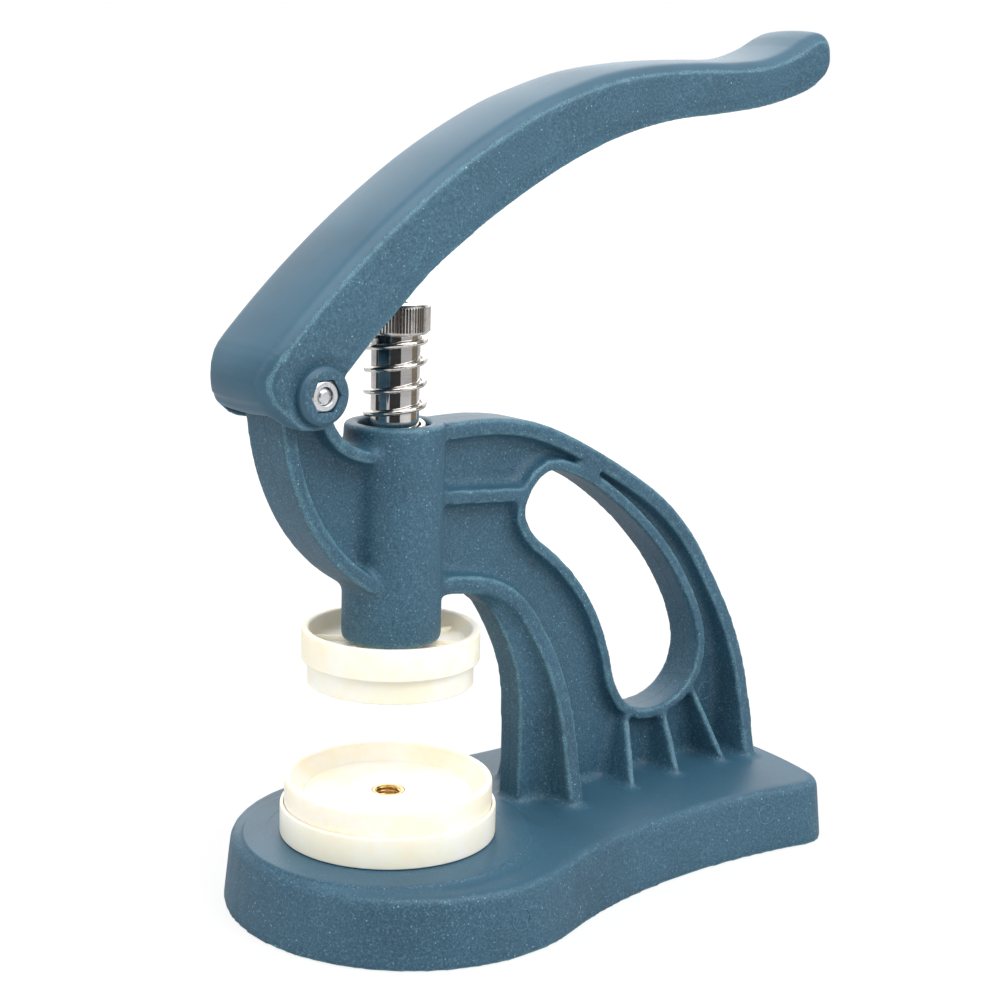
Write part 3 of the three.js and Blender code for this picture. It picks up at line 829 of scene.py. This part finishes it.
def lathe(name, corners, material, stand=UPRIGHT, segments=144):
    """A closed outline turned round an axis, which the matrix stand puts in its place."""
    work = bmesh.new()
    columns = []
    for k in range(segments):
        angle = 2 * math.pi * k / segments
        worked = [tuple(c(angle) if callable(c) else c for c in corner) for corner in corners]
        x, y = math.cos(angle), math.sin(angle)
        columns.append([work.verts.new(stand @ Vector((p.x * x, p.x * y, p.y))) for p in eased(worked)])
    rows = len(columns[0])
    for k in range(segments):
        first, second = columns[k], columns[(k + 1) % segments]
        for row in range(rows):
            other = (row + 1) % rows
            work.faces.new((first[row], second[row], second[other], first[other]))
    bmesh.ops.remove_doubles(work, verts=work.verts, dist=0.0005 * MM)
    bmesh.ops.dissolve_degenerate(work, edges=work.edges, dist=0.0005 * MM)
    bmesh.ops.recalc_face_normals(work, faces=work.faces)
    mesh = bpy.data.meshes.new(name)
    work.to_mesh(mesh)
    work.free()
    mesh.shade_smooth()
    mesh.set_sharp_from_angle(angle=math.radians(32))
    mesh.materials.append(material)
    return link(name, mesh)


print("the lathe is ready")

# %% [markdown]
# ## Coils and threads
#
# A spring and a screw thread are the same shape: a section carried along a helix. One tree
# makes both. The helix is a line of points whose angle grows with their number. Closed end
# turns, which lie tight against each other, let a spring stand square on its seat. With a
# four-sided section sunk half way into a rod, the same tree cuts a V thread.

# %% The helix tree
def helix_tree():
    graph, given = start_tree("helix", Centre=Vector((0, 0, 0)), Radius=10.0, Wire=1.0, Turns=8.0,
                              Low=0.0, High=50.0, Closed=0.0, Sides=12, Steps=28)
    steps, turns, wire, closed = given["Steps"], given["Turns"], given["Wire"], given["Closed"]
    line = graph.node("GeometryNodeMeshLine", None, {"Count": turns * steps + 1})
    done = graph.node("GeometryNodeInputIndex") / steps
    angle = done * (2 * math.pi)
    middle = turns - closed * 2.0
    pitch = (given["High"] - given["Low"] - wire * 2.0 - closed * wire * 4.0) / middle
    rise = done.least(closed) * wire * 2.0
    rise = rise + (done.least(turns - closed) - closed).most(0.0) * pitch
    rise = rise + (done - turns + closed).most(0.0) * wire * 2.0
    r = given["Radius"]
    place = graph.place(r * angle.cosine(), r * angle.sine(), given["Low"] + wire + rise)
    place = graph.vector("ADD", place, given["Centre"])
    place = graph.vector("SCALE", place, scale=MM)
    path = graph.node("GeometryNodeSetPosition", None, {"Geometry": line, "Position": place})
    path = graph.node("GeometryNodeMeshToCurve", None, {"Mesh": path})
    path = graph.node("GeometryNodeSetCurveNormal", {"mode": "Z_UP"}, {"Curve": path})
    section = graph.node("GeometryNodeCurvePrimitiveCircle", None,
                         {"Resolution": given["Sides"], "Radius": wire * MM}, "Curve")
    tube = graph.node("GeometryNodeCurveToMesh", None,
                      {"Curve": path, "Profile Curve": section, "Fill Caps": True})
    return end_tree(graph, given, tube)


HELIX = helix_tree()


def coil(name, material, stand=None, **values):
    """A helix about the spindle's axis, or stood elsewhere by a matrix."""
    centre = Vector((AXIS_X, 0, 0)) if stand is None else Vector((0, 0, 0))
    piece = grow(name, HELIX, material, **{"Centre": centre, **values})
    if stand is not None:
        piece.data.transform(stand @ Matrix.Scale(1 / MM, 4))
    return piece


# %% [markdown]
# ## The spindle
#
# A polished, chromed rod slides in the tube and ends in a knurled nickel head that the
# lever's rib presses. A chromed spring between the tube and the head lifts it again. The
# head's knurl is a ring of upright blocks, sunk into a plain body and standing out on edge.

# %% Rod, spring and knurled head
ROD_R, ROD_FOOT, NECK_R, STUD_R = 8.5, 99.2, 5.0, 3.95
_, stud_low, neck_top = reach("spindle")
head_r, head_low, head_high = reach("spindle_head")
rod = lathe("spindle_rod", [
    (0, stud_low, 0), (STUD_R - 0.9, stud_low, 0.3), (STUD_R, stud_low + 1.2, 0.2),
    (STUD_R, ROD_FOOT, 0), (ROD_R, ROD_FOOT, 0.6), (ROD_R, head_low - 0.3, 0.3),
    (NECK_R, head_low - 0.3, 0), (NECK_R, neck_top, 0.3), (0, neck_top, 0)], chrome)
keep(rod, "ram", "chromed_rod", "spindle")
keep(coil("stud_thread", chrome, Radius=STUD_R, Wire=0.42, Turns=8.0, Low=stud_low + 1.0,
          High=ROD_FOOT - 0.6, Sides=4, Steps=48), "ram", "chromed_rod")


def travel_of(joint):
    """How far a sliding joint moves, in millimetres."""
    return next(j for j in frame["joints"] if j["name"] == joint)["range_m"][1] / MM


# The spring's foot stands just clear of the fillet round its seat.
SPRING_LIFT = 0.5
_, spring_low, spring_high = reach("return_spring")
spring_low += SPRING_LIFT
spring = coil("return_spring_coil", wire_chrome, Radius=10.05, Wire=0.98, Turns=12.5,
              Low=spring_low, High=spring_high, Closed=0.8, Sides=14, Steps=36)
travel = travel_of("ram_slide")
1 - travel / (spring_high - spring_low)
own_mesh(spring)
keep(spring, "ram", "spring_wire", "return_spring")


def ring_tree():
    """Blocks standing round a ring, each turned to face outwards and then by a twist more."""
    graph, given = start_tree("blocks in a ring", Centre=Vector((0, 0, 0)), Radius=11.0,
                              Size=Vector((1, 1, 8)), Twist=0.0, Count=72)
    count = given["Count"]
    ring = graph.node("GeometryNodeMeshCircle", None,
                      {"Vertices": count, "Radius": given["Radius"] * MM})
    size = graph.vector("SCALE", given["Size"], scale=MM)
    block = graph.node("GeometryNodeMeshCube", None, {"Size": size})
    angle = graph.node("GeometryNodeInputIndex") / count * (2 * math.pi) + given["Twist"]
    turned = graph.node("FunctionNodeEulerToRotation", None, {0: graph.place(0.0, 0.0, angle)})
    stood = graph.node("GeometryNodeInstanceOnPoints", None,
                       {"Points": ring, "Instance": block, "Rotation": turned})
    placed = graph.node("GeometryNodeTransform", None, {
        "Geometry": stood, "Translation": graph.vector("SCALE", given["Centre"], scale=MM)})
    return end_tree(graph, given, placed)


RING = ring_tree()
head_middle = (head_low + head_high) / 2
head = lathe("head_body", [
    (0, head_low, 0), (head_r - 0.9, head_low, 0.3), (head_r - 0.4, head_low + 0.9, 0.2),
    (head_r - 0.4, head_high - 1.1, 0.2), (head_r - 1.3, head_high, 0.3), (6, head_high, 0.3),
    (5.2, head_high - 0.6, 0.2), (0, head_high - 0.6, 0)], nickel)
keep(head, "ram", "nickel_knurl", "spindle_head")
knurl = grow("head_knurl", RING, nickel, Centre=Vector((AXIS_X, 0, head_middle)), Radius=head_r - 0.5,
             Size=Vector((0.66, 0.66, head_high - head_low - 1.9)), Twist=math.pi / 4, Count=66)
knurl.data.shade_flat()
keep(knurl, "ram", "nickel_knurl")

# %% [markdown]
# ## The pivot
#
# An M6 bolt passes through the lever's cheeks and the frame's lug. Its hexagon head and its
# nut sit in six-sided pockets in two raised bosses. The bosses are turned anew here, because
# such a crisp pocket would melt in the relaxed skin.

# %% Bosses, bolt and nut
NUT_FLAT, NUT_R = 4.98, 3.1
FACE_R, CHAMFER = 4.7, 0.6
boss_face = reach("lever")[0]
flat = hexagon(NUT_FLAT)
pocket = hexagon(NUT_FLAT + 0.28)


def boss(name, outward, depth):
    """A ring with a hexagon pocket; outward is -1 on the nut's side, 1 on the head's."""
    face, floor_y = outward * boss_face, outward * (boss_face - depth)
    root = outward * (boss_face - 6)
    return lathe(name, [
        (pocket, floor_y, 0), (pocket, face, 0.25), (8.4, face, 0.5),
        (BOSS_R, outward * (boss_face - 1.2), 0.5), (BOSS_R, root, 0), (6.5, root, 0)],
        lever_blue, ACROSS)


keep(boss("boss_nut_side", -1, 4.9), "lever_arm", "blue_moulding")
keep(boss("boss_head_side", 1, 4.4), "lever_arm", "blue_moulding")

nut_low, nut_high = (c.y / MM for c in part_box("pivot_nut"))
bolt_low, bolt_high = (c.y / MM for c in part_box("pivot_bolt"))


def slope(shape, face_r, start, sign):
    """The height of a hexagon's chamfer, which cuts the corners deeper than the flats."""
    return lambda angle: start + sign * (shape(angle) - face_r) * CHAMFER


nut = lathe("nut", [
    (NUT_R, nut_low, 0.3), (FACE_R, nut_low, 0.08), (flat, slope(flat, FACE_R, nut_low, 1), 0.05),
    (flat, slope(flat, FACE_R, nut_high, -1), 0.05), (FACE_R, nut_high, 0), (NUT_R, nut_high, 0.2)],
    zinc, ACROSS)
keep(nut, "lever_arm", "zinc_steel", "pivot_nut")
SHANK_R, CORE_R, THREADED = 3.0, 2.75, 9
under_head = bolt_high - 3.8
bolt = lathe("bolt", [
    (0, bolt_low, 0), (1.9, bolt_low, 0.7), (CORE_R, bolt_low + 0.9, 0.3),
    (CORE_R, bolt_low + THREADED, 0), (SHANK_R, bolt_low + 9.4, 0), (SHANK_R, under_head, 0),
    (flat, under_head, 0.05), (flat, slope(flat, FACE_R, bolt_high, -1), 0.05),
    (FACE_R, bolt_high, 0.1), (3.4, bolt_high, 0.3), (3.1, bolt_high - 0.3, 0),
    (0, bolt_high - 0.3, 0)], zinc, ACROSS)
keep(bolt, "lever_arm", "zinc_steel", "pivot_bolt")
keep(coil("bolt_thread", zinc, ACROSS, Radius=2.72, Wire=0.34, Turns=8.0, Low=bolt_low + 0.7,
          High=bolt_low + THREADED, Sides=4, Steps=40), "lever_arm", "zinc_steel")

# %% [markdown]
# ## The dies
#
# The upper die is a cup screwed on the spindle by a brass insert. Its skirt enters the
# lower die's ring. The lower die is a holder bolted to the base, with a ring inside it that
# gives way on four little springs when the dies close and wraps the badge's film round its
# shell. Their outlines follow the mechanical model's, with each rim eased as a moulded rim is.

# %% Upper die
cup_r, cup_low, cup_high = reach("upper_die_cup")
insert_hole = reach("upper_die_insert")[0] + 0.1
DIE_SEGMENTS = 192
SKIRT_BORE, SKIRT_R = 28.3, 29.7
CUP_UNDER, CUP_FLOOR, HUB_TOP = 93.0, 97.3, 98.9
upper = lathe("upper_die", [
    (insert_hole, CUP_UNDER, 0), (SKIRT_BORE, CUP_UNDER, 0.4), (SKIRT_BORE, cup_low, 0.3),
    (SKIRT_R, cup_low, 0.6), (SKIRT_R, 91.6, 0.25), (cup_r, 92.2, 0.6), (cup_r, cup_high, 0.9),
    (29.3, cup_high, 0.9), (28.3, 100.5, 0.8), (27.4, CUP_FLOOR, 1.2), (12.2, CUP_FLOOR, 0.5),
    (12.0, HUB_TOP, 0.4), (insert_hole, HUB_TOP, 0.15)], ivory, segments=DIE_SEGMENTS)
keep(upper, "ram", "ivory_plastic", "upper_die_cup")
gussets = grow("cup_gussets", RING, ivory, Centre=Vector((AXIS_X, 0, 98.0)), Radius=20.3,
               Size=Vector((14.6, 1.1, 1.7)), Count=8)
gussets.data.shade_flat()
keep(gussets, "ram", "ivory_plastic")


M8_PITCH = 1.25


def threaded_insert(name, node, body):
    """A brass bush with an M8 thread in its bore."""
    r, low, high = reach(node)
    bush = lathe(name, [
        (4.3, low, 0.2), (r, low, 0.3), (r, high, 0.25), (5.0, high, 0.2), (4.3, high - 0.6, 0.1)], brass)
    keep(bush, body, "brass", node)
    turns = float(int((high - low - 1.6) / M8_PITCH))
    keep(coil(name + "_thread", brass, Radius=4.4, Wire=0.5, Turns=turns, Low=low + 0.4, High=high - 0.5,
              Sides=4, Steps=48), body, "brass")


threaded_insert("upper_insert", "upper_die_insert", "ram")
_, pad_low, pad_high = reach("upper_die_pad")
pad = lathe("upper_pad", [
    (7, pad_low, 0.3), (27.9, pad_low, 0.9), (27.9, pad_high, 0.2), (7, pad_high, 0.2)],
    ivory, segments=DIE_SEGMENTS)
keep(pad, "ram_pad", "ivory_plastic", "upper_die_pad")

# %% Lower die and the seat it stands on
SEAT_R, SEAT_TOP = 52.0, 27.05
seat = lathe("seat_rim", [
    (44, SEAT_TOP - 1.5, 0), (44, SEAT_TOP, 0), (SEAT_R, SEAT_TOP, 0.5), (SEAT_R + 1, SEAT_TOP - 1.6, 0.3),
    (SEAT_R + 1, SEAT_TOP - 3, 0)], frame_blue, segments=DIE_SEGMENTS)
keep(seat, "press_frame", "blue_moulding")
holder_r, holder_low, floor_high = reach("lower_die_holder")
sleeve_r, sleeve_low, sleeve_high = reach("lower_die_sleeve")
HOLDER_TOP, BORE_R, PLUG_R, GROOVE = 38.5, 37.75, 30.4, 30.3
INSERT_HOLE_R, BOLT_HOLE_R = 6.05, 4.5
holder = lathe("lower_holder", [
    (BOLT_HOLE_R, holder_low, 0), (holder_r, holder_low, 0.5), (holder_r, HOLDER_TOP, 0.9),
    (BORE_R, HOLDER_TOP, 0.3), (BORE_R, GROOVE, 0), (PLUG_R, GROOVE, 0), (PLUG_R, floor_high, 0.3),
    (INSERT_HOLE_R, floor_high, 0.15), (INSERT_HOLE_R, GROOVE, 0), (BOLT_HOLE_R, GROOVE, 0)],
    ivory, segments=DIE_SEGMENTS)
keep(holder, "press_frame", "ivory_plastic", "lower_die_holder")
SLEEVE_BORE = PLUG_R + 0.05
sleeve = lathe("lower_sleeve", [
    (SLEEVE_BORE, sleeve_low, 0), (sleeve_r, sleeve_low, 0.2), (sleeve_r, sleeve_high, 1.5),
    (35.3, sleeve_high, 0.9), (34.4, sleeve_high - 1.7, 0.8), (31.2, 42.7, 0.9),
    (SLEEVE_BORE, 42.1, 0)], ivory, segments=DIE_SEGMENTS)
keep(sleeve, "die_sleeve", "ivory_plastic", "lower_die_sleeve")
threaded_insert("lower_insert", "lower_die_insert", "press_frame")

# %% The small springs, and the bolt under the base
SMALL_WIRE = 0.35


def small_spring(node, body, joint):
    """One spring in a die. It rides on its moving body."""
    low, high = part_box(node)
    centre = (low + high) / 2 / MM
    wide, z0, z1 = (high.x - low.x) / 2 / MM, low.z / MM, high.z / MM
    piece = grow(node + "_coil", HELIX, wire_chrome, Centre=Vector((centre.x, centre.y, 0)),
                 Radius=wide - SMALL_WIRE, Wire=SMALL_WIRE, Turns=4.5, Low=z0, High=z1, Closed=0.6,
                 Sides=8, Steps=24)
    play = travel_of(joint)
    1 - play / (z1 - z0)
    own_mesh(piece)
    keep(piece, body, "spring_wire", node)


for number in (1, 2, 3):
    small_spring(f"upper_pad_spring_{number}", "ram_pad", "pad_slide")
for number in (1, 2, 3, 4):
    small_spring(f"sleeve_spring_{number}", "die_sleeve", "sleeve_slide")

_, die_bolt_low, die_bolt_high = reach("die_bolt")
DIE_BOLT_FACE_R, DIE_BOLT_R = 6.1, 3.8
die_flat = hexagon(6.5)
head_top = die_bolt_low + 5.3
die_bolt = lathe("die_bolt_turned", [
    (0, die_bolt_low + 0.4, 0), (4.6, die_bolt_low + 0.4, 0.2), (5.2, die_bolt_low, 0.3),
    (DIE_BOLT_FACE_R, die_bolt_low, 0.2),
    (die_flat, slope(die_flat, DIE_BOLT_FACE_R, die_bolt_low, 1), 0.05), (die_flat, head_top, 0),
    (DIE_BOLT_R, head_top, 0), (DIE_BOLT_R, die_bolt_high - 0.8, 0), (3.2, die_bolt_high, 0),
    (0, die_bolt_high, 0)], zinc)
keep(die_bolt, "press_frame", "zinc_steel", "die_bolt")
WASHER_HOLE_R = 4.3
washer_r, washer_low, washer_high = reach("die_washer")
washer = lathe("washer", [
    (WASHER_HOLE_R, washer_low, 0.15), (washer_r, washer_low, 0.2), (washer_r, washer_high, 0.2),
    (WASHER_HOLE_R, washer_high, 0.15)], zinc)
keep(washer, "press_frame", "zinc_steel", "die_washer")

# %% [markdown]
# ## Marks of the mould
#
# Push-out pins leave round witness lines on the flat faces they pushed: a hair-thin ring on
# each. One tree sets a ring on each place it is given, turned to face the way that place's
# `facing` attribute says.

# %% Push-out pin marks
def pin_tree():
    graph, given = start_tree("pin marks", Radius=3.8, Line=0.16)
    path = graph.node("GeometryNodeCurvePrimitiveCircle", None,
                      {"Resolution": 48, "Radius": given["Radius"] * MM}, "Curve")
    section = graph.node("GeometryNodeCurvePrimitiveCircle", None,
                         {"Resolution": 6, "Radius": given["Line"] * MM}, "Curve")
    ring = graph.node("GeometryNodeCurveToMesh", None, {"Curve": path, "Profile Curve": section})
    # An edge value of 0.8 makes the blue paint the ring paler, with wear, a painted highlight and painted
    # glints, as on edges.
    ring = graph.node("GeometryNodeStoreNamedAttribute", {"data_type": "FLOAT", "domain": "POINT"},
                      {"Geometry": ring, "Name": "edge", "Value": 0.8})
    facing = graph.node("GeometryNodeInputNamedAttribute", {"data_type": "FLOAT_VECTOR"},
                        {"Name": "facing"})
    turned = graph.node("FunctionNodeAlignRotationToVector", {"axis": "Z"}, {"Vector": facing})
    stood = graph.node("GeometryNodeInstanceOnPoints", None,
                       {"Points": given["Geometry"], "Instance": ring, "Rotation": turned})
    return end_tree(graph, given, stood)


PINS = pin_tree()
frame_tree = ray_target(frame_piece.data)
# x and z of the pins: five on the arm, one on the lug and two on the base.
PIN_PLACES = ((25, 161.5), (54, 159), (28, 127), (81, 88.5), (163, 50),
              (-40, 174), (146, 15.7), (7, 13.4))
OUTSIDE = 90


def pin_places():
    """The pins' places and facings on both sides of the frame, by rays from outside."""
    return [frame_tree.ray_cast(at(x, side * OUTSIDE, z), Vector((0, -side, 0)))[:2]
            for x, z in PIN_PLACES for side in (-1, 1)]


places = pin_places()
pin_mesh = bpy.data.meshes.new("pin places")
pin_mesh.from_pydata([p for p, _ in places], [], [])
facing = pin_mesh.attributes.new("facing", "FLOAT_VECTOR", "POINT")
for item, (_, normal) in zip(facing.data, places):
    item.vector = normal
keep(grow("pin_marks", PINS, frame_blue, pin_mesh), "press_frame", "blue_moulding")

# %% [markdown]
# ## Ribs under the base
#
# The base is a hollow shell. Ribs across and along it keep it flat. Each rib is a thin slab
# that must reach from wall to wall, and the walls are curved, so a ray is cast both ways
# from the middle of each rib to find how long it has to be.

# %% The ribs
def rib_tree():
    """Slabs in a row, Along X or Y; the ones across keep off the bolt's boss on the axis."""
    graph, given = start_tree("ribs", First=Vector((0, 0, 0)), Step=Vector((0, 0, 0)),
                              Along=Vector((0, 1, 0)), Count=4, Thick=1.8, Tall=17.0, Keep_off=16.0)
    line = graph.node("GeometryNodeMeshLine", None, {
        "Count": given["Count"], "Start Location": graph.vector("SCALE", given["First"], scale=MM),
        "Offset": graph.vector("SCALE", given["Step"], scale=MM)})
    here = graph.node("GeometryNodeInputPosition")

    def hit(direction):
        return graph.node("GeometryNodeRaycast", {"data_type": "FLOAT"}, {
            "Target Geometry": given["Geometry"], "Source Position": here, "Ray Direction": direction,
            "Ray Length": 0.4}, "Hit Distance")

    forward = hit(given["Along"])
    backward = hit(graph.vector("SCALE", given["Along"], scale=-1.0))
    shift = graph.vector("SCALE", given["Along"], scale=(forward - backward) * 0.5)
    length = forward + backward + 0.6 * MM
    thick, tall = given["Thick"] * MM, given["Tall"] * MM
    along_x = graph.part(given["Along"], "X")
    across_x = 1 - along_x
    size = graph.place(length * along_x + thick * across_x, length * across_x + thick * along_x, tall)
    away = (graph.part(here, "X") / MM - AXIS_X).size()
    allowed = graph.node("FunctionNodeCompare", {"data_type": "FLOAT", "operation": "GREATER_THAN"},
                         {"A": away + along_x * 100.0, "B": given["Keep_off"]})
    block = graph.node("GeometryNodeMeshCube", None, {"Size": Vector((1, 1, 1))})
    stood = graph.node("GeometryNodeInstanceOnPoints", None, {
        "Points": line, "Instance": block, "Selection": allowed, "Scale": size})
    moved = graph.node("GeometryNodeTranslateInstances", None, {
        "Instances": stood, "Translation": shift, "Local Space": False})
    return end_tree(graph, given, moved)


RIBS = rib_tree()
RIB_MIDDLE = 11.0
across = grow("ribs_across", RIBS, frame_blue, frame_piece.data,
              First=Vector((AXIS_X - 46, 0, RIB_MIDDLE)), Step=Vector((26, 0, 0)),
              Along=Vector((0, 1, 0)), Count=9)
keep(across, "press_frame", "blue_moulding")
along = grow("ribs_along", RIBS, frame_blue, frame_piece.data,
             First=Vector((AXIS_X + 60, -30, RIB_MIDDLE)), Step=Vector((0, 60, 0)),
             Along=Vector((1, 0, 0)), Count=2)
keep(along, "press_frame", "blue_moulding")
